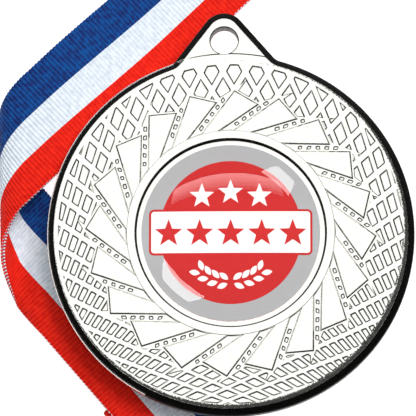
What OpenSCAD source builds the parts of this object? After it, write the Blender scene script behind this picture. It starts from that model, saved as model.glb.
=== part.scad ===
// Sports finisher medal with a striped neck ribbon, in millimetres.
// The medal lies face up on its folded ribbon: +Z comes out of the face, +Y points
// to the lug, and the origin is on the table under the middle of the medal.

/* [Medal] */
// Diameter over the rim
medal_d = 50; // [50:0.5:52]
// Thickness at the rim and at the patterned field
rim_t = 2.7; // [2.5:0.1:3]
// Height of the medal's back above the table
back_z = 5; // [5:0.1:6]
// Height of the blades above the field
blade_h = 0.2; // [0.15:0.05:0.3]
// Height of the centre ring above the field
ring_h = 0.3; // [0.3:0.05:0.5]
// Number of blades round the centre
blade_count = 20; // [16:1:21]
// Depth of the plain field in the back
back_recess = 0.3; // [0.2:0.05:0.4]

/* [Lug] */
// Radius of the hole
hole_r = 1.9; // [1.7:0.05:2]
// Distance from the medal's centre to the hole
hole_y = 26.9; // [26.7:0.05:27.1]
// Radius of the lug's tip
tip_r = 3.05; // [2.9:0.05:3.2]
// Distance from the medal's centre to the middle of the tip arc
tip_y = 27.9; // [27.7:0.05:28.1]
// Slope of the lug's flanks, in degrees
flank_a = 51; // [50:1:54]
// Radius of the fillets where the lug meets the rim
fillet_r = 1.8; // [1.5:0.1:2.5]
// Thickness of the lug
lug_t = 2.5; // [2.3:0.1:2.6]

/* [Centre] */
// Inner radius of the raised ring
recess_r = 13; // [12.8:0.1:13.2]
// Outer radius of the raised ring
ring_r = 14.2; // [14:0.05:14.3]
// Height of the recess floor above the medal's back
floor_z = 2.25; // [2:0.05:2.35]
// Radius of the resin dome
dome_r = 12.15; // [12:0.05:12.3]
// Height of the resin dome
dome_h = 1.3; // [1.1:0.1:1.5]
// Thickness of the printed disc
label_t = 0.15; // [0.1:0.05:0.2]
// Thickness of the adhesive disc
glue_t = 0.1; // [0.05:0.05:0.15]

/* [Ribbon] */
// Width of the ribbon
ribbon_w = 13.5; // [13:0.1:13.6]
// Thickness of the doubled ribbon
pair_t = 0.66; // [0.6:0.01:0.66]
// Distance of the upper run's middle line from the medal's centre
upper_off = 29.6; // [29.2:0.1:29.8]
// Distance of the lower run's middle line from the medal's centre
lower_off = 21.5; // [21:0.1:21.8]

/* [Clamp and ring] */
// Length of the clamp along the ribbon
clamp_l = 7; // [6.5:0.5:8]
// Width of the clamp
clamp_w = 14.6; // [14.4:0.1:15]
// Height of the clamp
clamp_t = 1.7; // [1.7:0.1:2]
// Length of the rolled eye
eye_l = 2.6; // [2.4:0.1:2.8]
// Radius of the jump ring, to the middle of its wire
loop_r = 4.6; // [4.4:0.1:5]
// Radius of the jump ring's wire
wire_r = 0.6; // [0.5:0.05:0.6]

/* [Hidden] */

medal_r = medal_d / 2;
field_r = 23.4;                       // outer radius of the patterned field
shoulder_w = 0.9;                     // width of the rim's rounded shoulder
shoulder_z = 1.1;                     // height of that shoulder
foot_w = 0.5;                         // rounding at the back edge
label_z = back_z + floor_z + glue_t;
dome_z = label_z + label_t;

// Blade corners as [radius, angle] in the first blade's place
blade_pitch = 360 / blade_count;
root_r = ring_r - 0.7;                // the blades' roots reach this far under the ring
blade_corners = [[18.16, 4.4], [19.68, 14.5], [root_r, 36.25], [root_r, 28.65]];
sunk = 0.5;                           // how far the blades and the ring reach into the disc

// The ribbon's directions. u runs along a run, n points away from the medal.
upper_a = 42;                         // direction of the upper run, in degrees from +X
lower_a = -51;                        // direction of the lower run
layer_z = 0.77;                       // height from one doubled layer to the next
function dir(a) = [cos(a), sin(a)];
upper_u = dir(upper_a);
upper_n = dir(upper_a + 90);
lower_u = dir(lower_a);
lower_n = dir(lower_a - 90);
half_w = ribbon_w / 2;
half_t = pair_t / 2;

// The soft roll at the left: both runs meet on a line at this angle
roll_a = (upper_a + 180 + lower_a + 360) / 2 - 180;
roll_axis = dir(roll_a);
roll_n = dir(roll_a + 90);
roll_start = 29;                      // distance of the roll's axis from the origin
roll_w = 2.5;                         // half width of the roll beside the origin
roll_spread = 0.07;                   // how much that grows with each mm along the roll
roll_top = 4.45;                      // height of the ribbon on top of the roll
roll_low = 0.36;                      // height of the ribbon under the roll
clamp_in = 29.5;                      // where the clamp starts along the upper run
ribbon_end = 35;                      // where the ribbon ends inside the clamp
end_z = 0.85;                         // height of the ribbon in the clamp
rise_from = 9.5;                      // the upper run rises to the roll from here
rise_to = 26;                         // to here
drop_from = 25;                       // the lower run drops to the roll's foot from here
first_z = half_t;                     // height of the hank's lowest layer
strip_z = first_z + layer_z;          // height of the strip under the lower run
run_z = strip_z + layer_z;            // height of the lower run over its own folds
turn_s = 21.5;                        // where the lower run turns back under itself
// Where the two middle lines would meet if the ribbon were creased flat
meet_det = upper_n[0] * lower_n[1] - upper_n[1] * lower_n[0];
meet = [(upper_off * lower_n[1] - upper_n[1] * lower_off) / meet_det,
        (upper_n[0] * lower_off - upper_off * lower_n[0]) / meet_det];
roll_len = 2 * (meet * roll_n - roll_start);

function smooth(a, b, x) = let (t = max(0, min(1, (x - a) / (b - a)))) t * t * (3 - 2 * t);
// Height of the upper run, and of the lower run, at distance e from the medal's axis
function upper_z(e) = end_z + (roll_top - end_z) * smooth(rise_from, rise_to, e);
function lower_z(e) = run_z + (roll_low - run_z) * smooth(drop_from, roll_start, e);

// Point of the ribbon's middle surface: s from the clamped end, v across, blue side +
function ribbon_point(s, v) =
    let (flat = (upper_off + v) * upper_n + (ribbon_end - s) * upper_u,
         e = flat * roll_n,
         f = flat * roll_axis,
         over = e - roll_start,
         turn = 180 * over / roll_len,
         past = roll_start - (over - roll_len))
    over <= 0 ? place(e, f, upper_z(e))
    : over >= roll_len ? place(past, f, lower_z(past))
    : place(roll_start + (roll_w + roll_spread * f) * sin(turn), f,
            (roll_top + roll_low) / 2 + (roll_top - roll_low) / 2 * cos(turn));
function place(e, f, z) = [roll_n[0] * e + roll_axis[0] * f, roll_n[1] * e + roll_axis[1] * f, z];
function ribbon_normal(s, v) =
    let (step = 0.05,
         along = ribbon_point(s + step, v) - ribbon_point(s - step, v),
         across = ribbon_point(s, v + step) - ribbon_point(s, v - step),
         n = cross(across, along))
    n / norm(n);
function ribbon_skin(s, v, side) = ribbon_point(s, v) + side * half_t * ribbon_normal(s, v);

run_upper = ribbon_end - meet * upper_u;
run_lower = turn_s - meet * lower_u;
ribbon_len = run_upper + run_lower;

// The hank: a strip that comes back under the lower run, turns towards the medal's
// middle and then goes to and fro. q is measured along the hank, from the medal's axis.
hank_a = lower_a + 90;
strip_off = lower_off - 0.4;
hank_out = 21.7;                      // reach of the folds, away from the lower run
hank_in = 14.1;                       // reach of the low folds, towards the lower run
low_layers = 3;
high_layers = 4;

module medal_body() {
    color([0.8, 0.8, 0.77])
    translate([0, 0, back_z])
    difference() {
        union() {
            medal_disc();
            lug();
            centre_ring();
            blades();
        }
        translate([0, 0, floor_z]) cylinder(r = recess_r, h = 5, $fn = 128);
        translate([0, 0, -1]) cylinder(r = field_r, h = 1 + back_recess, $fn = 128);
        translate([0, hole_y, -1]) cylinder(r = hole_r, h = rim_t + 3, $fn = 64);
    }
}

module medal_disc() {
    shoulder = [for (i = [0:6]) [medal_r - shoulder_w + shoulder_w * cos(15 * i),
                                 rim_t - shoulder_z + shoulder_z * sin(15 * i)]];
    foot = [for (i = [0:3]) [medal_r - foot_w + foot_w * cos(30 * i),
                             foot_w - foot_w * sin(30 * i)]];
    rotate_extrude($fn = 180)
        polygon(concat([[0, 0]], [for (i = [3:-1:0]) foot[i]], shoulder, [[0, rim_t]]));
}

// The lug's outline: fillet, straight flank and round tip, the same on both sides
module lug() {
    root_in = 4;                      // how far the lug's root reaches into the disc
    flank_n = [-sin(flank_a), cos(flank_a)];
    flank_u = [cos(flank_a), sin(flank_a)];
    reach = tip_y * flank_n[1] + tip_r;
    centre_d = medal_r + fillet_r;
    rise = sqrt(pow(centre_d, 2) - pow(reach + fillet_r, 2));
    centre = (reach + fillet_r) * flank_n + rise * flank_u;
    disc_a = atan2(-centre[1], -centre[0]);
    flank_end_a = atan2(-flank_n[1], -flank_n[0]);
    fillet = [for (i = [0:6]) centre + fillet_r * dir(disc_a + (flank_end_a - disc_a) * i / 6)];
    tip = [for (i = [0:12]) [0, tip_y] + tip_r * dir(90 + flank_a - flank_a * i / 6)];
    right = [for (i = [6:-1:0]) [-fillet[i][0], fillet[i][1]]];
    root = [[centre[0], medal_r - root_in], [-centre[0], medal_r - root_in]];
    linear_extrude(lug_t)
        polygon(concat([root[0]], fillet, tip, right, [root[1]]));
}

module centre_ring() {
    translate([0, 0, rim_t - sunk])
        cylinder(r = ring_r, h = ring_h + sunk, $fn = 128);
}

module blades() {
    outline = [for (c = blade_corners) c[0] * dir(c[1])];
    for (i = [0:blade_count - 1])
        rotate([0, 0, i * blade_pitch])
            translate([0, 0, rim_t - sunk])
                linear_extrude(blade_h + sunk) polygon(outline);
}

module centre_adhesive() {
    color([0.9, 0.88, 0.8])
    translate([0, 0, back_z + floor_z])
        cylinder(r = dome_r - 0.3, h = glue_t, $fn = 128);
}

module centre_label() {
    color([0.85, 0.22, 0.22])
    translate([0, 0, label_z])
        cylinder(r = dome_r - 0.05, h = label_t, $fn = 128);
}

// A pool of resin: nearly flat in the middle and rounded down at its edge
module resin_dome() {
    steps = 14;
    curve = [for (i = [0:steps]) let (a = 90 * i / steps)
        [dome_r * sin(a), dome_h * pow(cos(a), 0.8)]];
    color([0.9, 0.95, 1, 0.4])
    translate([0, 0, dome_z])
        rotate_extrude($fn = 128) polygon(concat([[0, 0]], curve));
}

// Closed slab between the two skins of the doubled ribbon
module neck_ribbon() {
    rows = 76;
    cols = 8;
    skin = [for (side = [1, -1]) for (i = [0:rows]) for (j = [0:cols])
        ribbon_skin(ribbon_len * i / rows, ribbon_w * (j / cols - 0.5), side)];
    lane = cols + 1;
    low = (rows + 1) * lane;
    quads = [for (i = [0:rows - 1]) for (j = [0:cols - 1]) let (k = i * lane + j)
        each [[k, k + 1, k + lane + 1, k + lane],
              [low + k, low + k + lane, low + k + lane + 1, low + k + 1]]];
    ends = [for (j = [0:cols - 1]) let (k = rows * lane + j)
        each [[j, low + j, low + j + 1, j + 1], [k, k + 1, low + k + 1, low + k]]];
    edges = [for (i = [0:rows - 1]) let (k = i * lane, m = k + cols)
        each [[k, k + lane, low + k + lane, low + k], [m, low + m, low + m + lane, m + lane]]];
    color([0.1, 0.25, 0.6]) polyhedron(skin, concat(quads, ends, edges), convexity = 8);
}

// Folded stack: a strip under the lower run, a turned layer and the layers to and fro
module ribbon_hank() {
    color([0.85, 0.1, 0.08])
    rotate([0, 0, hank_a]) {
        strip();
        for (k = [0:low_layers + high_layers - 1])
            translate([0, 0, k * layer_z]) layer(k < low_layers ? -hank_in : -hank_out, k);
    }
}

module strip() {
    translate([-strip_off - half_w, -turn_s, strip_z - half_t])
        cube([ribbon_w, turn_s + half_w, pair_t]);
    translate([-strip_off - half_w, -turn_s, (run_z + strip_z) / 2])
        rotate([0, 90, 0])
            difference() {
                cylinder(r = (run_z - strip_z) / 2 + half_t, h = ribbon_w, $fn = 48);
                translate([-3, 0, -1]) cube([6, 3, ribbon_w + 2]);
            }
}

module layer(near, k) {
    start = k == 0 ? -strip_off - half_w : near;
    top = k == low_layers + high_layers - 1;
    translate([start, -half_w, first_z - half_t])
        cube([hank_out - start, ribbon_w, top ? pair_t : layer_z]);
}

// Two rows of stitches across the ribbon, beside the clamp, on both of its faces
module ribbon_stitching() {
    pitch = 1.22;                     // from one stitch to the next
    stitch = 0.83;                    // length of a stitch
    thread = 0.2;
    stitch_w = 0.3;
    count = 10;
    first_row = -2.2;                 // from the clamp's edge
    row_gap = 1.1;
    color([0.95, 0.95, 0.95])
    clamp_frame()
        for (row = [0, 1]) for (i = [0:count - 1]) for (side = [-1, 1])
            translate([first_row + row_gap * row, (i - count / 2 + 0.5) * pitch - stitch / 2,
                       end_z + side * (half_t + thread / 2) - thread / 2])
                cube([stitch_w, stitch, thread]);
}

// Frame of the clamp: +X along the ribbon, away from the medal, and +Y across it
module clamp_frame() {
    start = upper_off * upper_n + clamp_in * upper_u;
    translate([start[0], start[1], 0]) rotate([0, 0, upper_a]) children();
}

eye_hole = wire_r + 0.25;
eye_r = eye_hole + 0.5;
eye_x = clamp_l + eye_r - 0.3;
eye_z = eye_r + 0.05;

module ribbon_clamp() {
    slot_t = pair_t + 0.04;
    color([0.78, 0.78, 0.76])
    clamp_frame()
    difference() {
        union() {
            translate([0, -clamp_w / 2, 0]) cube([clamp_l, clamp_w, clamp_t]);
            translate([clamp_l - 0.6, -eye_l / 2, 0.1]) cube([eye_r, eye_l, clamp_t - 0.2]);
            translate([eye_x, eye_l / 2, eye_z]) rotate([90, 0, 0])
                cylinder(r = eye_r, h = eye_l, $fn = 64);
        }
        translate([-1, -half_w - 0.05, end_z - slot_t / 2])
            cube([clamp_l - 0.5, ribbon_w + 0.1, slot_t]);
        translate([eye_x, eye_l, eye_z]) rotate([90, 0, 0])
            cylinder(r = eye_hole, h = 2 * eye_l, $fn = 64);
    }
}

// The ring hangs in the eye and its far side rests on the table
module jump_ring() {
    sag = asin((eye_z - wire_r - 0.05) / (2 * loop_r));
    color([0.78, 0.78, 0.76])
    clamp_frame()
    translate([eye_x, 0, eye_z])
    rotate([0, sag, 0])
    translate([loop_r, 0, 0])
    difference() {
        rotate_extrude($fn = 96) translate([loop_r, 0]) circle(r = wire_r, $fn = 32);
        translate([0, loop_r - 1, -1]) cube([0.15, 2, 2]);
    }
}

medal_body();
centre_adhesive();
centre_label();
resin_dome();
neck_ribbon();
ribbon_hank();
ribbon_stitching();
ribbon_clamp();
jump_ring();
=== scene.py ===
"""Sports finisher medal on its folded striped neck ribbon: the looks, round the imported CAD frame.

Shapes are built in millimetres in the frame of part.scad and scaled to metres when a piece is made.
"""

import math

import bmesh
import bpy
import numpy as np
from mathutils import Matrix, Vector


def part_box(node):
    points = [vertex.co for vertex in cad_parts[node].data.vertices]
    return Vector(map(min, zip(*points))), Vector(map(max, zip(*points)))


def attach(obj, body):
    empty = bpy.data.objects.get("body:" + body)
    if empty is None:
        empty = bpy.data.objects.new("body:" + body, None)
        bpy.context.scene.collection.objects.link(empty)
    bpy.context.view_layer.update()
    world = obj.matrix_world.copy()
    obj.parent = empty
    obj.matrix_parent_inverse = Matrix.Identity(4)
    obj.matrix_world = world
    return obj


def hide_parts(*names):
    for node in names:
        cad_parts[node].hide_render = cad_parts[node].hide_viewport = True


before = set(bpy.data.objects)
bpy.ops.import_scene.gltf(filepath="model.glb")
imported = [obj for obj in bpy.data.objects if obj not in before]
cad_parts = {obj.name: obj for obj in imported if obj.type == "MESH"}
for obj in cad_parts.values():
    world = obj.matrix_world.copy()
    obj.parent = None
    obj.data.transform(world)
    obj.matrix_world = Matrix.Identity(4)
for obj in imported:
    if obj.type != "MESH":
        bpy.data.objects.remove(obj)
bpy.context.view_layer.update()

MM = 0.001

# ---------------------------------------------------------------- sizes, in millimetres

medal_low, medal_high = (np.array(corner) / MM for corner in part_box("medal_body"))
MEDAL_R = medal_high[0]
BACK_Z = medal_low[2]
RIM_T = 2.7
FIELD_Z = BACK_Z + RIM_T
RING_H = medal_high[2] - FIELD_Z
BLADE_H = 0.2
BACK_RECESS = 0.3
FIELD_R = 23.5  # outer radius of the patterned field
LAND_R = 24.0  # outer radius of the flat land round it

LUG_T = 2.5
HOLE_R, HOLE_Y = 1.9, 26.9
TIP_R, TIP_Y = 3.05, 27.9
FLANK_A = 51
FILLET_R = 1.8

RECESS_R, RING_R = 13.0, 14.2
FLOOR_H = 2.25  # recess floor above the medal's back
DOME_LOW, DOME_HIGH = (np.array(corner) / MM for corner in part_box("resin_dome"))
DOME_R = DOME_HIGH[0]
LABEL_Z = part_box("centre_label")[0].z / MM
LABEL_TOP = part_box("centre_label")[1].z / MM

BLADES = 20
BLADE_CORNERS = ((18.16, 4.4), (19.68, 14.5), (13.5, 36.25), (13.5, 28.65))
BLADE_LAND = 0.3  # flat border round a blade

RIBBON_W = 13.5
LOOP_HALF = 400.0  # half of the ribbon's loop
RIB = 0.57  # pitch of the cross ribs
WARP = 0.21  # pitch of the warp threads
UPPER_A, LOWER_A = 42, -51
UPPER_OFF, LOWER_OFF = 29.6, 21.5
LAYER_Z = 0.77
PAIR_T = 0.66
ROLL_START, ROLL_TOP, ROLL_LOW = 29, 4.45, 0.36
ROLL_W, ROLL_SPREAD = 2.5, 0.07  # half width of the roll, and its growth along the roll
RIBBON_END, CLAMP_IN = 35, 29.5
END_Z = 0.85
TURN_S = 21.5
HANK_OUT, HANK_IN = 21.7, 14.1
CLAMP_L, CLAMP_W, CLAMP_T = 7, 14.6, 1.7
EYE_L, LOOP_R, WIRE_R = 2.6, 4.6, 0.6
EYE_HOLE = WIRE_R + 0.25
EYE_R = EYE_HOLE + 0.5
EYE_X, EYE_Z = CLAMP_L + EYE_R - 0.3, EYE_R + 0.05
SAG = math.asin((EYE_Z - WIRE_R - 0.05) / (2 * LOOP_R))  # the ring's far side rests on the table


def direction(degrees):
    a = math.radians(degrees)
    return np.array((math.cos(a), math.sin(a)))


def smooth(a, b, x):
    t = np.clip((x - a) / (b - a), 0, 1)
    return t * t * (3 - 2 * t)


# ---------------------------------------------------------------- camera and the form of the lamps

PHOTO_ROLL = 1.85  # the photographed medal is turned this much to the left, in degrees
FACE_CENTRE = Vector((-2.97, 3.48, FIELD_Z)) * MM  # middle of the view, on the medal's face
CAMERA_BACK = Vector((0.0107, -0.1945, 0.9808)).normalized()
CAMERA_FAR = 0.45
VIEW_WIDTH = 56.6 * MM  # width of the view at the face


def make_camera():
    data = bpy.data.cameras.new("camera")
    data.sensor_width = 36
    data.lens = data.sensor_width * CAMERA_FAR / VIEW_WIDTH
    data.clip_start, data.clip_end = 0.01, 10
    camera = bpy.data.objects.new("camera", data)
    bpy.context.scene.collection.objects.link(camera)
    picture_up = Vector((*direction(90 - PHOTO_ROLL), 0))
    right = picture_up.cross(CAMERA_BACK).normalized()
    up = CAMERA_BACK.cross(right)
    turn = Matrix((right, up, CAMERA_BACK)).transposed()
    camera.matrix_world = Matrix.Translation(FACE_CENTRE + CAMERA_BACK * CAMERA_FAR) @ turn.to_4x4()
    bpy.context.scene.camera = camera


def make_light(name, back, far, size, brightness, only, shaded_by=None):
    """A flat lamp at far metres from the origin, in the direction back, that lights only some objects."""
    data = bpy.data.lights.new(name, "AREA")
    data.shape = "RECTANGLE"
    data.size, data.size_y = size
    data.energy = brightness * math.pi * size[0] * size[1]
    lamp = bpy.data.objects.new(name, data)
    bpy.context.scene.collection.objects.link(lamp)
    back = Vector(back).normalized()
    lamp.matrix_world = Matrix.Translation(back * far) @ back.to_track_quat("Z", "Y").to_matrix().to_4x4()
    lit = bpy.data.collections.new(name + "_lit")
    for o in only:
        lit.objects.link(o)
    lamp.light_linking.receiver_collection = lit
    if shaded_by:
        shade_makers = bpy.data.collections.new(name + "_shade")
        for o in shaded_by:
            shade_makers.objects.link(o)
        lamp.light_linking.blocker_collection = shade_makers
    return lamp


make_camera()

# ---------------------------------------------------------------- materials


class Nodes:
    """A material's node tree, with short ways to add and join nodes."""

    def __init__(self, name):
        self.material = bpy.data.materials.new(name)
        self.material.use_nodes = True
        self.tree = self.material.node_tree
        self.shader = self.tree.nodes["Principled BSDF"]

    def add(self, kind, **settings):
        node = self.tree.nodes.new("ShaderNode" + kind)
        for key, value in settings.items():
            setattr(node, key, value)
        return node

    def link(self, source, target):
        self.tree.links.new(source, target)

    def set(self, **values):
        for key, value in values.items():
            self.shader.inputs[key.replace("_", " ")].default_value = value

    def noise(self, scale, detail=2, vector=None):
        """Noise over the object's own coordinates, with scale in waves a metre."""
        node = self.add("TexNoise")
        node.inputs["Scale"].default_value = scale
        node.inputs["Detail"].default_value = detail
        self.link(vector or self.place(), node.inputs["Vector"])
        return node.outputs["Fac"]

    def place(self):
        return self.add("TexCoord").outputs["Object"]

    def blend(self, factor, low, high):
        """A colour from low to high, by a factor."""
        node = self.add("ValToRGB")
        ramp = node.color_ramp.elements
        ramp[0].position, ramp[1].position = 0.3, 0.7
        ramp[0].color, ramp[1].color = (*low, 1), (*high, 1)
        self.link(factor, node.inputs["Fac"])
        return node.outputs["Color"]

    def spread(self, value, low, high, source=(0.3, 0.7)):
        """A number from low to high as value goes over the source range."""
        node = self.add("MapRange")
        for key, number in zip(("From Min", "From Max", "To Min", "To Max"), (*source, low, high)):
            node.inputs[key].default_value = number
        self.link(value, node.inputs["Value"])
        return node.outputs["Result"]

    def math(self, operation, a, b=None):
        node = self.add("Math", operation=operation)
        for socket, value in zip(node.inputs, (a, b)):
            if isinstance(value, (int, float)):
                socket.default_value = value
            elif value is not None:
                self.link(value, socket)
        return node.outputs["Value"]

    def bump(self, height, strength, depth):
        """Bump of that height, on the shader's normal; depth in metres."""
        node = self.add("Bump")
        node.inputs["Strength"].default_value = strength
        node.inputs["Distance"].default_value = depth
        self.link(height, node.inputs["Height"])
        self.link(node.outputs["Normal"], self.shader.inputs["Normal"])


def metal_material(name, low, high, rough, grain, grain_depth):
    n = Nodes(name)
    n.set(Metallic=1.0)
    n.link(n.blend(n.noise(900, 3), low, high), n.shader.inputs["Base Color"])
    n.link(n.spread(n.noise(2500, 2), *rough), n.shader.inputs["Roughness"])
    n.bump(n.noise(grain, 3), 0.35, grain_depth)
    return n


def steel_material():
    """Satin nickel plate on the clamp and the jump ring."""
    n = metal_material("plated_steel", (0.8, 0.8, 0.79), (0.9, 0.9, 0.88), (0.16, 0.26), 3000, 0.00002)
    return n.material


SPECKLES_FROM, SPECKLES_DENSE, SPECKLES_TO = 23.65, 24.15, 24.1  # radii of the black speckles: antique finish that also paints the fuzzy inner edge of the rim's dark reflection


def medal_material():
    """Silver plate with a fine grain, and black speckles beside the rim: antique finish that also paints the
    fuzzy inner edge of the rim's dark reflection, heavier towards the bottom and right as painted shade.
    """
    n = metal_material("medal_silver", (0.84, 0.835, 0.79), (0.92, 0.915, 0.875), (0.2, 0.28), 7000, 0.00003)
    colour = n.shader.inputs["Base Color"].links[0].from_socket
    place = n.add("SeparateXYZ")
    n.link(n.place(), place.inputs["Vector"])
    x, y = place.outputs["X"], place.outputs["Y"]
    r = n.math("SQRT", n.math("ADD", n.math("MULTIPLY", x, x), n.math("MULTIPLY", y, y)))
    # painted shade: the speckled band starts further in towards the bottom and the right, so the dark edge
    # reads heavier on those sides
    painted_shade_lower_right = n.math("SUBTRACT", n.math("MULTIPLY", x, 0.01), n.math("MULTIPLY", y, 0.012))
    rise = n.spread(n.math("ADD", r, painted_shade_lower_right), 0, 0.7, (SPECKLES_FROM * MM, SPECKLES_DENSE * MM))
    fall = n.spread(r, 1, 0, (LAND_R * MM, SPECKLES_TO * MM))
    density = n.math("MULTIPLY", rise, fall)
    speckle = n.spread(n.math("ADD", n.noise(6000, 2), density), 0, 1, (0.68, 0.84))
    mix = n.add("Mix", data_type="RGBA")
    n.link(speckle, mix.inputs["Factor"])
    n.link(colour, mix.inputs[6])
    n.link(n.blend(n.noise(5000, 2), (0.02, 0.02, 0.018), (0.08, 0.08, 0.075)), mix.inputs[7])
    n.link(mix.outputs[2], n.shader.inputs["Base Color"])
    return n.material


def antique_and_painted_reflection_material():
    """Near-black metal: antique finish on the recess wall, and a painted dark reflection on the slopes and
    sides of the rim, the lug and the hole.
    """
    n = Nodes("medal_antique_and_painted_reflection")
    n.set(Metallic=1.0)
    black = n.blend(n.noise(6000, 2), (0.01, 0.01, 0.009), (0.03, 0.03, 0.028))
    n.link(black, n.shader.inputs["Base Color"])
    n.link(n.spread(n.noise(2500, 2), 0.35, 0.5), n.shader.inputs["Roughness"])
    n.bump(n.noise(5000, 3), 0.4, 0.00004)
    return n.material


def ribbon_material(name, dark, light):
    """Grosgrain dyed in one colour, with painted shade in the troughs between the modelled cross ribs, and
    fine warp threads.
    """
    n = Nodes(name)
    n.set(Specular_IOR_Level=0.1, Sheen_Weight=0.06, Sheen_Roughness=0.4)
    uv = n.add("SeparateXYZ")
    n.link(n.add("UVMap", uv_map="weave").outputs["UV"], uv.inputs["Vector"])
    along, across = uv.outputs["X"], uv.outputs["Y"]
    warp = n.math("SINE", n.math("MULTIPLY", across, 2 * math.pi / WARP))
    weft = n.math("COSINE", n.math("MULTIPLY", along, 2 * math.pi / RIB))
    streak = n.noise(1400, 3)
    thread = n.math("MULTIPLY", warp, n.math("ADD", weft, 0.5))
    # painted shade: darker where the modelled ribs dip, in step with their geometry
    painted_rib_shade_and_threads = n.math("ADD", n.math("MULTIPLY", weft, 0.14), n.math("MULTIPLY", thread, 0.03))
    factor = n.math("ADD", painted_rib_shade_and_threads, streak)
    n.link(n.blend(factor, dark, light), n.shader.inputs["Base Color"])
    n.link(n.spread(streak, 0.62, 0.8), n.shader.inputs["Roughness"])
    threads = n.math("ADD", weft, n.math("MULTIPLY", thread, 0.3))
    n.bump(n.math("ADD", threads, n.math("MULTIPLY", streak, 0.4)), 0.7, 0.00005)
    return n.material


def print_material(name, low, high):
    n = Nodes(name)
    n.set(Specular_IOR_Level=0.0)
    n.link(n.blend(n.noise(6000, 2), low, high), n.shader.inputs["Base Color"])
    n.link(n.spread(n.noise(3000, 1), 0.42, 0.5), n.shader.inputs["Roughness"])
    return n.material


def resin_material():
    """Clear resin: refracts what the camera sees and lets lamps reach the print under it."""
    n = Nodes("clear_resin")
    n.set(IOR=1.5, Transmission_Weight=1.0)
    n.link(n.blend(n.noise(150, 1), (0.97, 0.98, 0.99), (0.99, 1, 1)), n.shader.inputs["Base Color"])
    n.link(n.spread(n.noise(400, 1), 0.0, 0.02), n.shader.inputs["Roughness"])
    clear = n.add("BsdfTransparent")
    mix = n.add("MixShader")
    n.link(n.add("LightPath").outputs["Is Shadow Ray"], mix.inputs["Fac"])
    n.link(n.shader.outputs["BSDF"], mix.inputs[1])
    n.link(clear.outputs["BSDF"], mix.inputs[2])
    n.link(mix.outputs["Shader"], n.tree.nodes["Material Output"].inputs["Surface"])
    return n.material


def thread_material():
    n = Nodes("thread")
    n.set(Sheen_Weight=0.3, Specular_IOR_Level=0.3)
    n.link(n.blend(n.noise(4000, 3), (0.78, 0.78, 0.76), (0.95, 0.95, 0.93)), n.shader.inputs["Base Color"])
    n.link(n.spread(n.noise(3000, 2), 0.55, 0.75), n.shader.inputs["Roughness"])
    n.bump(n.noise(9000, 2), 0.6, 0.00004)
    return n.material


def adhesive_material():
    n = Nodes("adhesive")
    n.link(n.blend(n.noise(1200, 3), (0.78, 0.74, 0.62), (0.88, 0.85, 0.74)), n.shader.inputs["Base Color"])
    n.link(n.spread(n.noise(800, 2), 0.35, 0.55), n.shader.inputs["Roughness"])
    return n.material


def floor_material():
    n = Nodes("studio_floor")
    n.link(n.blend(n.noise(30, 2), (0.93, 0.93, 0.93), (0.95, 0.95, 0.95)), n.shader.inputs["Base Color"])
    n.link(n.spread(n.noise(60, 1), 0.85, 0.95), n.shader.inputs["Roughness"])
    n.set(Specular_IOR_Level=0.1)
    return n.material


SILVER = medal_material()
ANTIQUE_AND_PAINTED_REFLECTION = antique_and_painted_reflection_material()
STEEL = steel_material()
BLUE = ribbon_material("ribbon_blue", (0.006, 0.016, 0.11), (0.004, 0.07, 0.28))
WHITE = ribbon_material("ribbon_white", (0.56, 0.63, 0.71), (0.74, 0.8, 0.86))
RED = ribbon_material("ribbon_red", (0.58, 0.006, 0.002), (0.78, 0.02, 0.007))
GREY_INK = print_material("print_grey", (0.385, 0.4, 0.405), (0.41, 0.425, 0.43))
RED_INK = print_material("print_red", (0.51, 0.03, 0.03), (0.54, 0.036, 0.036))
WHITE_INK = print_material("print_white", (0.85, 0.85, 0.85), (0.9, 0.9, 0.9))
RESIN = resin_material()
THREAD = thread_material()
ADHESIVE = adhesive_material()
FLOOR = floor_material()

# ---------------------------------------------------------------- mesh building


def make_piece(name, points, faces, materials, paint=None):
    """An object of a closed mesh, points in millimetres. paint gives each face's material."""
    mesh = bpy.data.meshes.new(name)
    mesh.from_pydata((np.asarray(points) * MM).tolist(), [], faces)
    for material in materials:
        mesh.materials.append(material)
    if paint is not None:
        mesh.polygons.foreach_set("material_index", np.asarray(paint, np.int32))
    piece = bpy.data.objects.new(name, mesh)
    bpy.context.scene.collection.objects.link(piece)
    return piece


def loft(rings):
    """Closed solid through rings of equally many points, anticlockwise, from the lowest up."""
    count = len(rings[0])
    turn = range(count)
    faces = [tuple(reversed(turn))]
    for k in range(len(rings) - 1):
        low, high = k * count, (k + 1) * count
        for i in turn:
            j = (i + 1) % count
            faces.append((low + i, low + j, high + j, high + i))
    faces.append(tuple((len(rings) - 1) * count + i for i in turn))
    return np.concatenate(rings), faces


def lathe(profile, steps=256):
    """Closed solid of revolution from [radius, height] pairs, from the lowest up."""
    circle = np.array([direction(360 * i / steps) for i in range(steps)])
    return loft([lift(circle * r, z) for r, z in profile])


def lift(outline, z):
    outline = np.asarray(outline)
    return np.column_stack((outline, np.full(len(outline), float(z))))


def joined(solids):
    """Several solids as one list of points and faces."""
    points, faces, start = [], [], 0
    for some, sides in solids:
        points.append(some)
        faces += [tuple(start + i for i in side) for side in sides]
        start += len(some)
    return np.concatenate(points), faces


def scratch(solid):
    """A solid as an object in millimetres, for cutting."""
    mesh = bpy.data.meshes.new("scratch")
    points, faces = solid
    mesh.from_pydata(points.tolist(), [], faces)
    o = bpy.data.objects.new("scratch", mesh)
    bpy.context.scene.collection.objects.link(o)
    return o


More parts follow.
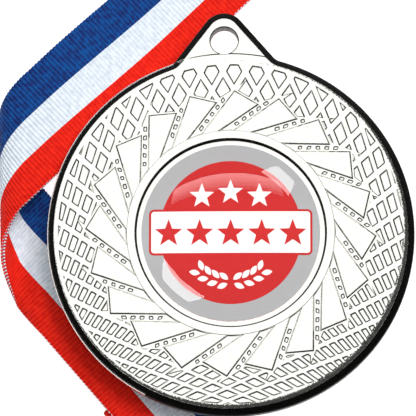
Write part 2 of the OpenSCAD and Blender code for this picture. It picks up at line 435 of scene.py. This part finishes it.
def cut(target, solid, operation="DIFFERENCE"):
    """Changes target, a scratch object, by a solid or another scratch object."""
    tool = solid if isinstance(solid, bpy.types.Object) else scratch(solid)
    modifier = target.modifiers.new("cut", "BOOLEAN")
    modifier.object = tool
    modifier.operation = operation
    modifier.solver = "MANIFOLD"
    graph = bpy.context.evaluated_depsgraph_get()
    mesh = bpy.data.meshes.new_from_object(target.evaluated_get(graph))
    target.modifiers.clear()
    old, target.data = target.data, mesh
    bpy.data.meshes.remove(old)
    bpy.data.objects.remove(tool)


def settle(o, name, materials):
    """Turns a scratch object into a piece in metres."""
    o.name = name
    o.data.name = name
    o.data.transform(Matrix.Scale(MM, 4))
    o.data.materials.clear()
    for material in materials:
        o.data.materials.append(material)
    return o


def shade(o, sharp=35):
    """Smooth shading, but sharp at corners and round flat level faces."""
    mesh = bmesh.new()
    mesh.from_mesh(o.data)
    for face in mesh.faces:
        face.smooth = True
    for edge in mesh.edges:
        faces = edge.link_faces
        if len(faces) != 2:
            continue
        level = [abs(f.normal.z) > 0.9999 for f in faces]
        edge.smooth = edge.calc_face_angle(0) < math.radians(sharp) and level[0] == level[1]
    mesh.to_mesh(o.data)
    mesh.free()


def inset(outline, d):
    """The convex outline with each side moved inwards by d."""
    p = np.asarray(outline, float)
    side = np.roll(p, -1, axis=0) - p
    side /= np.linalg.norm(side, axis=1)[:, None]
    inwards = np.column_stack((-side[:, 1], side[:, 0]))
    reach = (p * inwards).sum(1) + d
    moved = []
    for i in range(len(p)):
        pair = np.array((inwards[i - 1], inwards[i]))
        moved.append(np.linalg.solve(pair, (reach[i - 1], reach[i])))
    return np.array(moved)


def soften(outline, size):
    """The outline with each corner cut off at that distance."""
    p = np.asarray(outline, float)
    points = []
    for before, here, after in zip(np.roll(p, 1, axis=0), p, np.roll(p, -1, axis=0)):
        for other in (before, after):
            way = other - here
            points.append(here + way * size / np.linalg.norm(way))
    return np.array(points)


# ---------------------------------------------------------------- medal

# Each wall of the relief as [inset, height above the field], from its foot up
POCKET_WALL = ((0.23, -0.15), (0.175, -0.14), (0.02, -0.015), (0, 0), (0, 0.2))
BLADE_WALL = ((-0.12, -0.5), (-0.12, 0), (-0.085, 0.025), (0.05, 0.15), (0.08, 0.19), (0.12, BLADE_H))

# The field's lattice is made of two fans of bands from points below the medal, left and right.
# Each fan is [angle of band 0, step to the next band, change of that step], in degrees.
FOCUS = np.array((33, -36))
LEFT_FAN = (59.05, 2.31, -0.012)
RIGHT_FAN = (59.8, 2.31, -0.0065)
BAND_HALF = 0.3  # half the angle of a band
CELL_RANGE = range(-21, 10)
CELL_CORNER = 0.1  # size of the corner cut off a cell, at its brim
LOZENGE_STEP, LOZENGE_HALF = 1.22, 0.27  # the lozenges' pitch along a channel, and half their width


def band_angle(fan, k):
    start, step, change = fan
    return start + step * k + change * k * k


def meeting(a, b):
    """Where the left fan's line at angle a meets the right fan's mirrored line at angle b."""
    left, right = direction(a), direction(180 - b)
    start = np.array((-FOCUS[0], FOCUS[1]))
    steps = np.linalg.solve(np.column_stack((left, -right)), FOCUS - start)
    return start + steps[0] * left


def patch(low_i, high_i, low_j, high_j):
    """The field between two lines of each fan; the lattice stands upright in the photo, like the print."""
    corners = [meeting(low_i, low_j), meeting(low_i, high_j), meeting(high_i, high_j), meeting(high_i, low_j)]
    upright = np.column_stack((direction(-PHOTO_ROLL), direction(90 - PHOTO_ROLL))).T
    return np.array(corners) @ upright


def between(fan, k):
    """The angles between band k and the next band."""
    return band_angle(fan, k) + BAND_HALF, band_angle(fan, k + 1) - BAND_HALF


def lattice_cells():
    """The outlines of the lattice's cells that lie between the recess and the rim."""
    for i in CELL_RANGE:
        for j in CELL_RANGE:
            cell = patch(*between(LEFT_FAN, i), *between(RIGHT_FAN, j))
            if RECESS_R < np.linalg.norm(cell.mean(axis=0)) < MEDAL_R:
                yield cell


def walled(outline, wall, base, corner=0):
    """A prism whose outline follows a wall's insets, with its corners cut off and sharper as it narrows."""
    rings = []
    for d, z in wall:
        ring = inset(outline, d)
        if corner:
            ring = soften(ring, corner * (1 - 0.7 * d / wall[0][0]))
        rings.append(lift(ring, base + z))
    return loft(rings)


def blade_outlines():
    for k in range(BLADES):
        yield np.array([r * direction(a + 360 / BLADES * k) for r, a in BLADE_CORNERS])


def channels():
    """The channel between each blade and the next: its outline and its lozenges."""
    outlines = list(blade_outlines())
    for k, own in enumerate(outlines):
        after = outlines[(k + 1) % BLADES]
        outer, inner = (own[1] + after[0]) / 2, (own[2] + after[3]) / 2
        along = (inner - outer) / np.linalg.norm(inner - outer)
        across = np.array((-along[1], along[0]))
        lozenges = []
        reach = 0.3 + 0.5 * (0.382 * k % 1)
        while np.linalg.norm(outer + reach * along) > RING_R + 0.8:
            middle = outer + reach * along
            half = 0.29 + 0.1 * (0.618 * (k + 3 * len(lozenges)) % 1)
            lean = 0.13 - 0.2 * (0.27 * (k + len(lozenges)) % 1)
            lower, upper = (-half - lean, half - lean), (half + lean, lean - half)
            corners = [(x, -LOZENGE_HALF) for x in lower] + [(x, LOZENGE_HALF) for x in upper]
            lozenges.append(np.array([middle + x * along + y * across for x, y in corners]))
            reach += LOZENGE_STEP
        yield np.array((own[1], after[0], after[3], own[2])), lozenges


def pockets():
    """What is cut out of the face: the lattice's cells clear of blades and ring, and the lozenges."""
    cells = scratch(joined([walled(c, POCKET_WALL, FIELD_Z, CELL_CORNER) for c in lattice_cells()]))
    outer = lathe([(FIELD_R - d, FIELD_Z + z) for d, z in POCKET_WALL])
    inner = lathe([(RING_R + BLADE_LAND + d, FIELD_Z + z) for d, z in POCKET_WALL])
    guard = [(-BLADE_LAND - d, z * 1.5) for d, z in POCKET_WALL]
    lanes = list(channels())
    cut(cells, outer, "INTERSECT")
    cut(cells, inner)
    cut(cells, joined([walled(o, guard, FIELD_Z) for o in blade_outlines()]))
    cut(cells, joined([walled(lane, guard, FIELD_Z) for lane, _ in lanes]))
    wall = [(d * 0.8, z * 0.8) for d, z in POCKET_WALL]
    cut(cells, joined([walled(o, wall, FIELD_Z, CELL_CORNER) for _, some in lanes for o in some]), "UNION")
    return cells


def lug_outline(d):
    """Fillet, straight flank and round tip, moved inwards by d."""
    flank_n = np.array((-math.sin(math.radians(FLANK_A)), math.cos(math.radians(FLANK_A))))
    flank_u = direction(FLANK_A)
    reach = TIP_Y * flank_n[1] + TIP_R + FILLET_R
    centre = reach * flank_n + math.sqrt((MEDAL_R + FILLET_R) ** 2 - reach**2) * flank_u
    disc_a = math.degrees(math.atan2(-centre[1], -centre[0]))
    flank_a = math.degrees(math.atan2(-flank_n[1], -flank_n[0]))
    fillet = [centre + (FILLET_R + d) * direction(disc_a + (flank_a - disc_a) * i / 12) for i in range(13)]
    tip = [(0, TIP_Y) + (TIP_R - d) * direction(90 + FLANK_A - FLANK_A * i / 12) for i in range(25)]
    right = [np.array((-x, y)) for x, y in fillet[::-1]]
    root = MEDAL_R - 4
    return np.array([(centre[0], root), *fillet, *tip, *right, (-centre[0], root)])[::-1]


BEVEL = ((0, 0.78), (0.04, 0.68), (0.14, 0.6), (0.24, 0.53), (0.8, 0.08), (0.9, 0.02), (1.0, 0))
BRIGHT_SIDE = (95, 240)  # the rim's upright side is silver between these directions; elsewhere it gets the near-black material, a painted dark reflection that shades that side


def plate_edges(thick, foot):
    """Insets and heights of a plate's side: rounded foot, upright wall and a bevel up to the face."""
    steps = [math.radians(a) for a in (90, 67.5, 45, 22.5, 0)]
    low = [(foot * (1 - math.cos(a)), foot * (1 - math.sin(a))) for a in steps]
    return low + [(d, thick - drop) for d, drop in BEVEL]


def make_lug(body):
    """The lug, level with the disc's face up to the thin step where it leaves the rim."""
    cut(body, loft([lift(lug_outline(d), BACK_Z + z) for d, z in plate_edges(LUG_T, 0.3)]), "UNION")
    neck = scratch(loft([lift(lug_outline(d), BACK_Z + z) for d, z in plate_edges(RIM_T, 0.3)]))
    step = [(MEDAL_R + 0.1, BACK_Z + 0.5), (MEDAL_R + 0.1, FIELD_Z - 0.18), (MEDAL_R - 0.1, FIELD_Z)]
    cut(neck, lathe(step), "INTERSECT")
    cut(body, neck, "UNION")


def make_medal():
    body = scratch(lathe([(MEDAL_R - d, BACK_Z + z) for d, z in plate_edges(RIM_T, 0.5)]))
    make_lug(body)
    cut(body, pockets())
    cut(body, joined([walled(o, BLADE_WALL, FIELD_Z) for o in blade_outlines()]), "UNION")
    ring = [(0.1, -0.5), (0.1, 0), (0.07, 0.03), (-0.02, 0.11), (-0.05, RING_H - 0.05), (-0.1, RING_H)]
    cut(body, lathe([(RING_R + d, FIELD_Z + z) for d, z in ring]), "UNION")
    floor = BACK_Z + FLOOR_H
    recess = [(-0.2, floor), (-0.12, floor + 0.03), (-0.04, floor + 0.15)]
    recess += [(-0.02, FIELD_Z + RING_H - 0.15), (0.08, FIELD_Z + RING_H), (0.2, FIELD_Z + RING_H + 0.5)]
    cut(body, lathe([(RECESS_R + d, z) for d, z in recess]))
    back = [(0.3, -1), (0.3, 0), (0.12, BACK_RECESS * 0.4), (-0.1, BACK_RECESS * 0.9), (-0.2, BACK_RECESS)]
    cut(body, lathe([(FIELD_R + d, BACK_Z + z) for d, z in back]))
    bore = [(0.3, -0.5), (0.25, 0), (0.05, 0.2), (0, 0.3)]
    bore += [(0, LUG_T - 0.12), (0.13, LUG_T), (0.2, LUG_T + 0.6)]
    points, faces = lathe([(HOLE_R + d, BACK_Z + z) for d, z in bore], 96)
    cut(body, (points + (0, HOLE_Y, 0), faces))
    medal = settle(body, "medal_body_relief", [SILVER, ANTIQUE_AND_PAINTED_REFLECTION])
    # The near-black material goes on the recess wall as antique in the hollow, and on the slopes and sides of
    # the rim, lug and hole as painted dark reflection, except on the rim's upright side between the listed
    # directions.
    for face in medal.data.polygons:
        x, y = face.center.x / MM, face.center.y / MM
        r, a = math.hypot(x, y), math.degrees(math.atan2(y, x)) % 360
        edge = r > LAND_R or RECESS_R - 0.3 < r < RECESS_R + 0.12
        bright = MEDAL_R - 0.2 < r < MEDAL_R + 0.01 and BRIGHT_SIDE[0] < a < BRIGHT_SIDE[1]
        if edge and not bright and -0.5 < face.normal.z < 0.98:
            face.material_index = 1
    shade(medal)
    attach(medal, "medal")
    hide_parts("medal_body")
    return medal


# ---------------------------------------------------------------- printed centre

INK = 0.012  # thickness of a layer of ink
DOME_CROWN = 0.8  # power of the dome's profile: lower is flatter on top and steeper at the edge
PRINT_TALL = 1.02  # the print is drawn this much taller, so that it looks round from the camera
RED_DISC_R = 9.65
PLAQUE_W, PLAQUE_H, PLAQUE_BORDER = 22.1, 6.2, 0.3


def star(middle, radius, points=5, deep=0.42):
    """A star with one point up."""
    return np.array([
        middle + radius * (1 if i % 2 == 0 else deep) * direction(90 + 180 / points * i)
        for i in range(2 * points)
    ])


def leaf(middle, length, width, angle):
    """A pointed leaf: two arcs from tip to tip."""
    steps = np.linspace(-1, 1, 9)
    lower = [(t * length / 2, -width / 2 * (1 - t * t)) for t in steps]
    upper = [(t * length / 2, width / 2 * (1 - t * t)) for t in steps[-2:0:-1]]
    u, n = direction(angle), direction(angle + 90)
    return np.array([middle + x * u + y * n for x, y in lower + upper])


def plaque(width, height, corner):
    """A rectangle with round corners."""
    points = []
    for x, y, start in ((1, -1, -90), (1, 1, 0), (-1, 1, 90), (-1, -1, 180)):
        centre = np.array((x * (width / 2 - corner), y * (height / 2 - corner)))
        points += [centre + corner * direction(start + 15 * k) for k in range(7)]
    return np.array(points)


def disc(radius, steps=128):
    return np.array([radius * direction(360 * i / steps) for i in range(steps)])


def make_label():
    """The printed disc: its ground, and the ink on it in layers, turned to stand upright in the photo."""
    outline = disc(DOME_R - 0.05)
    base = LABEL_TOP - 5 * INK
    ground = loft([lift(outline, LABEL_Z), lift(outline, base)])
    solids, paint = [ground], [0] * len(ground[1])
    inks = [GREY_INK, RED_INK, WHITE_INK]
    panel = plaque(PLAQUE_W - 2 * PLAQUE_BORDER, PLAQUE_H - 2 * PLAQUE_BORDER, 0.4)
    prints = [(1, disc(RED_DISC_R), 1), (2, plaque(PLAQUE_W, PLAQUE_H, 0.7), 1), (3, panel, 2)]
    prints += [(4, star(np.array((x, -0.15)), 1.95), 1) for x in (-8.4, -4.2, 0, 4.2, 8.4)]
    prints += [(2, star(np.array((x, y)), 1.75), 2) for x, y in ((-3.9, 4.9), (0, 5.4), (3.9, 4.9))]
    for side in (-1, 1):
        for k in range(4):
            stem = 270 + side * (7 + 11 * k)  # the sprig's arc, in degrees round the print's middle
            for reach, twist in ((7.3, 30), (6.0, -30)):
                heading = stem + side * (90 - twist)
                prints.append((2, leaf(reach * direction(stem + side * 2), 1.5, 0.75, heading), 2))
    turn = np.column_stack((direction(-PHOTO_ROLL), PRINT_TALL * direction(90 - PHOTO_ROLL)))
    for level, outline, ink in prints:
        placed = outline @ turn.T
        solid = loft([lift(placed, base - INK), lift(placed, base + level * INK)])
        solids.append(solid)
        paint += [ink] * len(solid[1])
    points, faces = joined(solids)
    label = make_piece("centre_label_print", points, faces, inks, paint)
    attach(label, "medal")
    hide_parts("centre_label")
    return label


def make_dome():
    """The resin pool, cast round the label, with a smooth crown and a rounded edge."""
    steps = 40
    height = DOME_HIGH[2] - DOME_LOW[2]
    foot = LABEL_Z + 0.02
    profile = [(DOME_R - 0.04, foot), (DOME_R, foot + 0.04)]
    for k in range(steps):
        a = math.pi / 2 * (1 - k / steps)
        profile.append((DOME_R * math.sin(a), DOME_LOW[2] + height * math.cos(a) ** DOME_CROWN))
    dome = scratch(lathe(profile, 192))
    settle(dome, "resin_dome_clear", [RESIN])
    shade(dome, 60)
    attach(dome, "medal")
    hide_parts("resin_dome")
    return dome


# ---------------------------------------------------------------- ribbon

UPPER_U, UPPER_N = direction(UPPER_A), direction(UPPER_A + 90)
LOWER_U, LOWER_N = direction(LOWER_A), direction(LOWER_A - 90)
ROLL_A = (UPPER_A + LOWER_A + 180) / 2
ROLL_AXIS, ROLL_N = direction(ROLL_A), direction(ROLL_A + 90)
MEET = np.linalg.solve(np.array((UPPER_N, LOWER_N)), (UPPER_OFF, LOWER_OFF))
ROLL_LEN = 2 * (MEET @ ROLL_N - ROLL_START)
RUN_UPPER = RIBBON_END - MEET @ UPPER_U
RUN_LOWER = TURN_S - MEET @ LOWER_U
HALF_T = PAIR_T / 2
RUN_Z = HALF_T + 2 * LAYER_Z
CREASE_R = LAYER_Z / 2
STRAND = 0.165  # from the doubled ribbon's middle to the middle of one strand
STRAND_T = 0.28
RIB_STEPS = 4  # rows of the mesh for each cross rib
ROW_STEP = RIB / RIB_STEPS
RIB_RISE = 0.022
PICOT = 0.05  # how far the ribs stand out at the ribbon's edges
STRIP_LEAN = 1.05  # the strip under the lower run leans inwards by this many degrees


def crease(point, heading, new_heading, rise, s):
    """A fold at a point of the middle line: what folding needs, and the middle line after it."""
    across = heading - new_heading
    across /= np.linalg.norm(across)
    return {
        "across": across,
        "at": point @ across,
        "rise": rise,
        "from": s - RIBBON_W,
        "middle": point + math.pi * CREASE_R * across,
        "heading": new_heading,
        "s": s,
    }


def travel_to(fold, axis, value):
    """Ribbon length from a fold's point to where the middle line has that coordinate on an axis."""
    return (value - fold["middle"] @ axis) / (fold["heading"] @ axis)


def plan_creases():
    """The folds that put the unseen ribbon away: back under the lower run, then to and fro."""
    hank = -LOWER_N
    start = LOWER_OFF * LOWER_N + TURN_S * LOWER_U
    folds = [crease(start, LOWER_U, direction(LOWER_A + 180 + 2 * STRIP_LEAN), -1, RUN_UPPER + RUN_LOWER)]
    strip = folds[0]
    across = strip["heading"] - hank
    across /= np.linalg.norm(across)
    step = travel_to(strip, LOWER_U, -math.pi * CREASE_R * (across @ LOWER_U))
    point = strip["middle"] + step * strip["heading"]
    folds.append(crease(point, strip["heading"], hank, -1, strip["s"] + step))
    edge = CREASE_R + HALF_T
    stops = [HANK_OUT, -HANK_IN, HANK_OUT, -HANK_OUT, HANK_OUT, -HANK_OUT]
    for stop in stops:
        last = folds[-1]
        value = stop - math.copysign(edge, stop)
        step = travel_to(last, hank, value)
        point = last["middle"] + step * last["heading"]
        folds.append(crease(point, last["heading"], -last["heading"], 1, last["s"] + step))
    return folds


CREASES = plan_creases()


def ribbon_middle(s, v):
    """Middle surface of the doubled ribbon: s from the clamped end, v across, blue side +."""
    flat = (UPPER_OFF + v)[:, None] * UPPER_N + (RIBBON_END - s)[:, None] * UPPER_U
    e, f = flat @ ROLL_N, flat @ ROLL_AXIS
    over = e - ROLL_START
    turn = np.clip(over / ROLL_LEN, 0, 1) * math.pi
    past = ROLL_START - (over - ROLL_LEN)
    upper_z = END_Z + (ROLL_TOP - END_Z) * smooth(9.5, 26, e)
    lower_z = RUN_Z + (ROLL_LOW - RUN_Z) * smooth(25, 29, past)
    roll_z = (ROLL_TOP + ROLL_LOW) / 2 + (ROLL_TOP - ROLL_LOW) / 2 * np.cos(turn)
    before, after = over <= 0, over >= ROLL_LEN
    e = np.where(before, e, np.where(after, past, ROLL_START + (ROLL_W + ROLL_SPREAD * f) * np.sin(turn)))
    z = np.where(before, upper_z, np.where(after, lower_z, roll_z))
    p = e[:, None] * ROLL_N + f[:, None] * ROLL_AXIS
    for fold in CREASES:
        t = np.where(s > fold["from"], np.maximum(p @ fold["across"] - fold["at"], 0), 0)
        angle = np.minimum(t / CREASE_R, math.pi)
        back = np.maximum(t - math.pi * CREASE_R, 0)
        p = p + (CREASE_R * np.sin(angle) - t - back)[:, None] * fold["across"]
        z = z + fold["rise"] * CREASE_R * (1 - np.cos(angle))
    return np.column_stack((p, z))


def ribbon_frame(s, v):
    """Points of the middle surface, its unit normals and its direction of travel."""
    step = 0.02
    along = ribbon_middle(s + step, v) - ribbon_middle(s - step, v)
    across = ribbon_middle(s, v + step) - ribbon_middle(s, v - step)
    normal = np.cross(across, along)
    normal /= np.linalg.norm(normal, axis=1)[:, None]
    along /= np.linalg.norm(along, axis=1)[:, None]
    return ribbon_middle(s, v), normal, along


def ribbon_rows():
    """Rows of the strip as [length, turn]: out on one side of the middle, round its end and back."""
    last = round(LOOP_HALF / ROW_STEP)
    near = [fold["s"] for fold in CREASES]
    out = []
    for k in range(last + 1):
        s = k * ROW_STEP
        bent = any(-1 < s - at < 2.5 for at in near) or s < RUN_UPPER + RUN_LOWER + 8
        if k % 2 == 0 or bent:
            out.append((k, 0.0))
    turn = [(last, math.pi * i / 8) for i in range(1, 8)]
    back = [(k, math.pi) for k, _ in reversed(out)]
    return out + turn + back


BLUE_SHARE, WHITE_SHARE = 0.36, 0.31
HALF_W = RIBBON_W / 2
BLUE_EDGE = HALF_W - BLUE_SHARE * RIBBON_W
RED_EDGE = BLUE_EDGE - WHITE_SHARE * RIBBON_W
SELVEDGE = 0.13
LANES = (
    (-HALF_W, 1), (-HALF_W + SELVEDGE, 2), (-5.1, 2), (-3.7, 2), (RED_EDGE, 1), (-0.9, 1),
    (0.5, 1), (BLUE_EDGE, 0), (3.5, 0), (5.1, 0), (HALF_W - SELVEDGE, 0), (HALF_W, 0),
)


def make_ribbon():
    """One woven ribbon, both its strands and its looped end, as a closed thin strip with cross ribs."""
    rows = ribbon_rows()
    k = np.array([row[0] for row in rows])
    turn = np.array([row[1] for row in rows])
    lanes = np.array([lane[0] for lane in LANES])
    wide = len(lanes)
    rib = np.cos(2 * math.pi * k / RIB_STEPS)
    s = np.repeat(k * ROW_STEP, wide)
    bulge = np.repeat(rib, wide) * PICOT
    v = np.tile(lanes, len(k))
    at_edge = np.abs(v) > HALF_W - 0.01
    v = v + np.where(at_edge, np.sign(v) * (bulge - PICOT), 0)
    point, normal, along = ribbon_frame(s, v)
    lean = np.repeat(turn, wide)[:, None]
    outwards = normal * np.cos(lean) + along * np.sin(lean)
    thin = np.where(at_edge, 0.07, 0)
    ribs = np.repeat(rib, wide) * RIB_RISE
    outer = point + outwards * (STRAND + STRAND_T / 2 - thin + ribs)[:, None]
    inner = point + outwards * (STRAND - STRAND_T / 2 + thin)[:, None]
    points = np.concatenate((outer, inner))
    low = len(outer)
    faces, paint = [], []
    picot = [int(number % RIB_STEPS < RIB_STEPS / 2) for number in k]
    for i in range(len(rows) - 1):
        for j in range(wide - 1):
            a = i * wide + j
            b = a + wide
            faces += [(a, a + 1, b + 1, b), (low + a, low + b, low + b + 1, low + a + 1)]
            colour = LANES[j][1] if j else (1 if picot[i] else 2)
            paint += [colour, colour]
        a, b = i * wide, (i + 1) * wide
        faces += [(a, b, low + b, low + a)]
        a, b = a + wide - 1, b + wide - 1
        faces += [(a, low + a, low + b, b)]
        paint += [1 if picot[i] else 2, 0]
    for a, flip in ((0, False), ((len(rows) - 1) * wide, True)):
        for j in range(wide - 1):
            quad = (a + j, low + a + j, low + a + j + 1, a + j + 1)
            faces.append(quad[::-1] if flip else quad)
            paint.append(LANES[j][1])
    ribbon = make_piece("neck_ribbon_woven", points, faces, [BLUE, WHITE, RED], paint)
    mesh = ribbon.data
    uv = mesh.uv_layers.new(name="weave")
    corner = np.zeros(len(mesh.loops), np.int32)
    mesh.loops.foreach_get("vertex_index", corner)
    lengths = np.concatenate((s, s))[corner]
    acrosses = np.concatenate((v, v))[corner]
    uv.data.foreach_set("uv", np.column_stack((lengths, acrosses)).astype(np.float32).ravel())
    mesh.polygons.foreach_set("use_smooth", np.ones(len(mesh.polygons), bool))
    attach(ribbon, "ribbon_set")
    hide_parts("neck_ribbon", "ribbon_hank")
    return ribbon


# ---------------------------------------------------------------- clamp, stitches and ring


def clamp_place(points):
    """From the clamp's own frame, +X along the ribbon and +Y across it, to the model's."""
    start = UPPER_OFF * UPPER_N + CLAMP_IN * UPPER_U
    flat = start + points[:, :1] * UPPER_U + points[:, 1:2] * UPPER_N
    return np.column_stack((flat, points[:, 2]))


def tube(path, radius, steps=12, closed=False):
    """A round tube along a path, with flat ends unless it is closed."""
    path = np.asarray(path, float)
    ahead = np.roll(path, -1, axis=0) - np.roll(path, 1, axis=0)
    if not closed:
        ahead[0], ahead[-1] = path[1] - path[0], path[-1] - path[-2]
    ahead /= np.linalg.norm(ahead, axis=1)[:, None]
    side = np.cross(ahead, (0.13, 0.21, 0.97))
    side /= np.linalg.norm(side, axis=1)[:, None]
    over = np.cross(side, ahead)
    rings = []
    for p, a, b in zip(path, side, over):
        rings.append([p + radius * (math.cos(t) * a + math.sin(t) * b)
                      for t in np.linspace(0, 2 * math.pi, steps, endpoint=False)])
    points, faces = loft([np.array(r) for r in rings])
    if closed:
        count = len(path)
        faces = faces[1:-1]
        last = (count - 1) * steps
        faces += [(last + i, last + (i + 1) % steps, (i + 1) % steps, i) for i in range(steps)]
    return points, faces


def bar(outline, half):
    """A prism along the clamp's +Y, from an outline of [x, z], from -half to half."""
    points, faces = loft([lift(outline, -half), lift(outline, half)])
    return np.column_stack((points[:, 0], -points[:, 2], points[:, 1])), faces


def bevel_edges(o, width):
    """Rounds the edges of a scratch object."""
    modifier = o.modifiers.new("bevel", "BEVEL")
    modifier.width = width
    modifier.segments = 2
    modifier.limit_method = "ANGLE"
    graph = bpy.context.evaluated_depsgraph_get()
    mesh = bpy.data.meshes.new_from_object(o.evaluated_get(graph))
    o.modifiers.clear()
    o.data = mesh


def make_clamp():
    """Sheet metal folded over the ribbon's ends, with pressed grooves and a rolled eye."""
    slot_low, slot_high = END_Z - PAIR_T / 2 - 0.02, END_Z + PAIR_T / 2 + 0.02
    fold = [(CLAMP_L - 0.85 + 0.85 * x, CLAMP_T / 2 + CLAMP_T / 2 * y)
            for x, y in (direction(a) for a in range(-90, 91, 15))]
    grooves = []
    for middle in (4.6, 2.2):
        grooves += [(middle + d, CLAMP_T - h) for d, h in ((0.45, 0), (0.2, 0.14), (-0.2, 0.14), (-0.45, 0))]
    mouth = [(0.12, CLAMP_T), (0, CLAMP_T - 0.12), (0, slot_high + 0.1), (0.15, slot_high)]
    inside = [(CLAMP_L - 0.9, slot_high), (CLAMP_L - 0.5, END_Z), (CLAMP_L - 0.9, slot_low)]
    foot = [(0.15, slot_low), (0, slot_low - 0.1), (0, 0.12), (0.12, 0)]
    body = scratch(bar(fold + grooves + mouth + inside + foot, CLAMP_W / 2))
    strap = [(CLAMP_L - 0.6, 0.35), (EYE_X, 0.1), (EYE_X, CLAMP_T - 0.1), (CLAMP_L - 0.6, CLAMP_T - 0.35)]
    cut(body, bar(strap, EYE_L / 2), "UNION")
    centre = (EYE_X, EYE_Z)
    cut(body, bar(disc(EYE_R, 48) + centre, EYE_L / 2), "UNION")
    cut(body, bar(disc(EYE_HOLE, 48) + centre, EYE_L))
    bevel_edges(body, 0.07)
    points = np.array([corner.co for corner in body.data.vertices])
    body.data.vertices.foreach_set("co", clamp_place(points).ravel())
    settle(body, "ribbon_clamp_crimp", [STEEL])
    shade(body)
    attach(body, "ribbon_set")
    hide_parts("ribbon_clamp")
    return body


def make_ring():
    """The jump ring: round wire with its cut ends side by side, hanging in the eye."""
    cut_half = math.degrees(0.075 / LOOP_R)
    path = []
    for t in np.linspace(90 + cut_half, 450 - cut_half, 72):
        x, y = LOOP_R * direction(t)
        path.append((EYE_X + (LOOP_R + x) * math.cos(SAG), y, EYE_Z - (LOOP_R + x) * math.sin(SAG)))
    points, faces = tube(path, WIRE_R, 16)
    ring = make_piece("jump_ring_wire", clamp_place(points), faces, [STEEL])
    shade(ring, 60)
    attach(ring, "ring")
    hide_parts("jump_ring")
    return ring


def make_stitches():
    """Two rows of stitches through the ribbon's two layers beside the clamp, seen on both faces."""
    solids = []
    surface = STRAND + STRAND_T / 2
    for row in (-2.05, -0.95):
        for i in range(10):
            for side in (-1, 1):
                path = []
                for t in np.linspace(-1, 1, 9):
                    x = row + 0.06 * math.sin(2.4 * i) + 0.05 * t
                    y = (i - 4.5) * 1.22 + 0.46 * t
                    path.append((x, y, END_Z + side * (surface + 0.1 - 0.32 * t**4)))
                solids.append(tube(path, 0.11, 8))
    points, faces = joined(solids)
    stitches = make_piece("ribbon_stitches", clamp_place(points), faces, [THREAD])
    shade(stitches, 60)
    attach(stitches, "ribbon_set")
    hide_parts("ribbon_stitching")
    return stitches


medal = make_medal()
label = make_label()
dome = make_dome()
ribbon = make_ribbon()
clamp = make_clamp()
ring = make_ring()
stitches = make_stitches()

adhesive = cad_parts["centre_adhesive"]
adhesive.data.materials.clear()
adhesive.data.materials.append(ADHESIVE)

# ---------------------------------------------------------------- floor, world and lamps

FLOOR_HALF = 1.6  # half the side of the floor, in metres
WORLD_DARK, WORLD_SEEN = 0.03, 0.9
SOFTBOX_FAR, SOFTBOX_SIDE = 0.6, 0.8
SOFTBOX_BACK = (-0.06, 0.2, 0.98)
GLINT_FAR = 1.5


def make_floor():
    corners = np.array([(-1, -1, 0), (1, -1, 0), (1, 1, 0), (-1, 1, 0)]) * FLOOR_HALF / MM
    floor = make_piece("studio_floor", corners, [(0, 1, 2, 3)], [FLOOR])
    return floor


def make_world():
    """Dark round the metal, so that its slopes read as lines, and pale where the camera sees it."""
    world = bpy.data.worlds.new("studio")
    world.use_nodes = True
    tree = world.node_tree
    mix = tree.nodes.new("ShaderNodeMix")
    mix.data_type = "RGBA"
    mix.inputs["A"].default_value = (*[WORLD_DARK] * 3, 1)
    mix.inputs["B"].default_value = (*[WORLD_SEEN] * 3, 1)
    path = tree.nodes.new("ShaderNodeLightPath")
    tree.links.new(path.outputs["Is Camera Ray"], mix.inputs["Factor"])
    tree.links.new(mix.outputs["Result"], tree.nodes["Background"].inputs["Color"])
    bpy.context.scene.world = world


def softbox(name, brightness, only, shaded_by=None):
    """The large lamp overhead, for some objects only."""
    make_light(name, SOFTBOX_BACK, SOFTBOX_FAR, (SOFTBOX_SIDE, SOFTBOX_SIDE), brightness, only, shaded_by)


def dome_mirror(r, angle):
    """Direction from which a lamp is seen in the dome, at the share r of its radius."""
    a = math.asin(r)
    height = DOME_HIGH[2] - DOME_LOW[2]
    slope = DOME_CROWN * height / DOME_R * math.tan(a) / math.cos(a) ** (1 - DOME_CROWN)
    normal = Vector((*(slope * direction(angle)), 1)).normalized()
    return 2 * normal.dot(CAMERA_BACK) * normal - CAMERA_BACK


def glint(name, start, end, width, brightness):
    """A lamp seen only in the dome, from one [share of the radius, angle] to another; width in radians."""
    inner, outer = dome_mirror(*start), dome_mirror(*end)
    back = (inner + outer).normalized()
    size = (GLINT_FAR * width, GLINT_FAR * (outer - inner).length)
    lamp = make_light(name, back, GLINT_FAR, size, brightness, [dome])
    up = (outer - inner).normalized()
    right = up.cross(back).normalized()
    turn = Matrix((right, back.cross(right), back)).transposed()
    lamp.matrix_world = Matrix.Translation(back * GLINT_FAR) @ turn.to_4x4()


floor = make_floor()
make_world()
bpy.context.scene.view_settings.view_transform = "Standard"
cloth = [ribbon, stitches]
softbox("softbox_metal", 1.22, [medal, clamp, ring])
softbox("softbox_print", 3.3, [label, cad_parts["centre_adhesive"]])
softbox("softbox_cloth", 1.9, cloth)
make_light("key_cloth", (0.34, 0.28, 0.9), 0.7, (0.3, 0.3), 11.5, cloth)
softbox("softbox_floor", 2.8, [floor], [floor])
softbox("shadow_floor", 1.1, [floor])
glint("glint_right", (0.78, 43), (0.92, 43), 0.13, 8)
glint("glint_left", (0.8, 226), (0.93, 226), 0.22, 8.5)
for k in range(4):
    glint(f"glint_top_{k}", (0.5 + 0.045 * k, 92), (0.69, 92), 0.38, 1.3)
